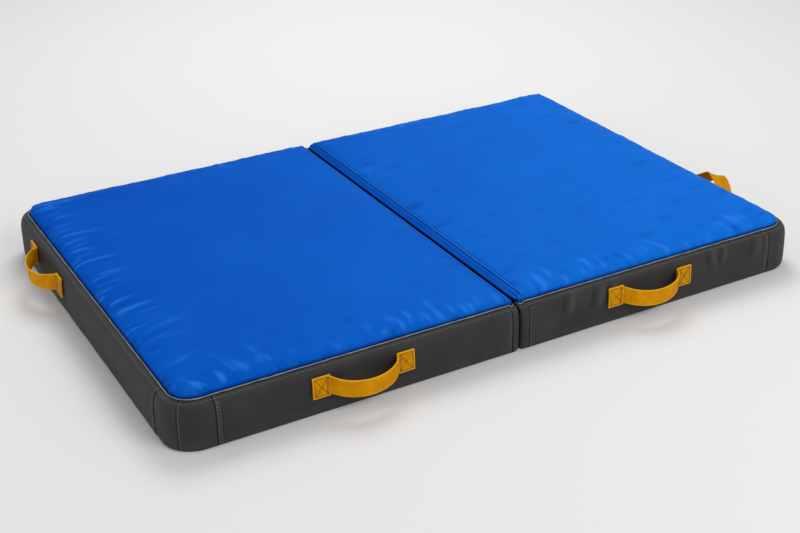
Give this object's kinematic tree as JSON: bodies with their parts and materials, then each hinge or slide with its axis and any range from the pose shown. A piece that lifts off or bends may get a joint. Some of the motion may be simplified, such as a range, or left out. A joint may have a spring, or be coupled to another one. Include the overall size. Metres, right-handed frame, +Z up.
{
  "type": "bouldering crash pad",
  "caption": "Folding foam landing pad with a sewn cover: a landing face, dark side walls, a fabric hinge between its panels and webbing grab handles on the walls.",
  "frame": {"origin": "On the floor, under the middle of the open pad's bounding box with its handles", "axes": "+X along the open pad from its left panel to its right panel, across the fold; +Y from the wall with the two handles, the front, to the back; +Z up, out of the landing face"},
  "size_m": [1.595, 1.0462, 0.124],
  "materials": {
    "landing_fabric": "coated woven, satin blue",
    "wall_fabric": "coated heavy weave, charcoal",
    "base_fabric": "coated heavy weave, black",
    "welt": "light grey seam binding",
    "webbing": "woven strap, yellow orange",
    "closed_cell_foam": "matt, dark",
    "open_cell_foam": "matt, cream"
  },
  "bodies": {
    "left_panel": {"left_base_foam_sheet": "closed_cell_foam", "left_foam_core": "open_cell_foam", "left_landing_foam_sheet": "closed_cell_foam", "left_base_cover": "base_fabric", "left_landing_cover": "landing_fabric", "left_top_welt": "welt", "left_front_wall": "wall_fabric", "left_front_corner": "wall_fabric", "left_end_wall": "wall_fabric", "left_back_corner": "wall_fabric", "left_back_wall": "wall_fabric", "left_hinge_wall": "wall_fabric", "hinge_strip": "landing_fabric", "front_left_handle_left_patch": "webbing", "front_left_handle_right_patch": "webbing", "front_left_handle_left_strap_end": "webbing", "front_left_handle_right_strap_end": "webbing", "left_end_handle_front_patch": "webbing", "left_end_handle_back_patch": "webbing", "left_end_handle_front_strap_end": "webbing", "left_end_handle_back_strap_end": "webbing"},
    "right_panel": {"right_base_foam_sheet": "closed_cell_foam", "right_foam_core": "open_cell_foam", "right_landing_foam_sheet": "closed_cell_foam", "right_base_cover": "base_fabric", "right_landing_cover": "landing_fabric", "right_top_welt": "welt", "right_front_wall": "wall_fabric", "right_front_corner": "wall_fabric", "right_end_wall": "wall_fabric", "right_back_corner": "wall_fabric", "right_back_wall": "wall_fabric", "right_hinge_wall": "wall_fabric", "front_right_handle_left_patch": "webbing", "front_right_handle_right_patch": "webbing", "front_right_handle_left_strap_end": "webbing", "front_right_handle_right_strap_end": "webbing", "right_end_handle_front_patch": "webbing", "right_end_handle_back_patch": "webbing", "right_end_handle_front_strap_end": "webbing", "right_end_handle_back_strap_end": "webbing"},
    "front_left_loop": {"front_left_handle_loop": "webbing"},
    "front_right_loop": {"front_right_handle_loop": "webbing"},
    "left_end_loop": {"left_end_handle_loop": "webbing"},
    "right_end_loop": {"right_end_handle_loop": "webbing"}
  },
  "joints": [
    {"name": "fold", "type": "hinge", "parent": "left_panel", "child": "right_panel", "pos_m": [-0.00142, 0.02306, 0.125], "axis": [0, -1, 0], "range_deg": [0, 180], "deforming": ["hinge_strip"]},
    {"name": "front_left_handle_swing", "type": "hinge", "parent": "left_panel", "child": "front_left_loop", "pos_m": [-0.36292, -0.49194, 0.06222], "axis": [-1, 0, 0], "range_deg": [-30, 50], "stiffness_Nm_per_rad": 0.05, "deforming": ["front_left_handle_left_strap_end", "front_left_handle_right_strap_end"]},
    {"name": "front_right_handle_swing", "type": "hinge", "parent": "right_panel", "child": "front_right_loop", "pos_m": [0.32408, -0.49194, 0.06222], "axis": [-1, 0, 0], "range_deg": [-30, 50], "stiffness_Nm_per_rad": 0.05, "deforming": ["front_right_handle_left_strap_end", "front_right_handle_right_strap_end"]},
    {"name": "left_end_handle_swing", "type": "hinge", "parent": "left_panel", "child": "left_end_loop", "pos_m": [-0.76642, 0.25806, 0.06222], "axis": [0, 1, 0], "range_deg": [-30, 50], "stiffness_Nm_per_rad": 0.05, "deforming": ["left_end_handle_front_strap_end", "left_end_handle_back_strap_end"]},
    {"name": "right_end_handle_swing", "type": "hinge", "parent": "right_panel", "child": "right_end_loop", "pos_m": [0.76358, -0.16694, 0.06222], "axis": [0, -1, 0], "range_deg": [-70, 10], "stiffness_Nm_per_rad": 0.05, "deforming": ["right_end_handle_front_strap_end", "right_end_handle_back_strap_end"]}
  ]
}
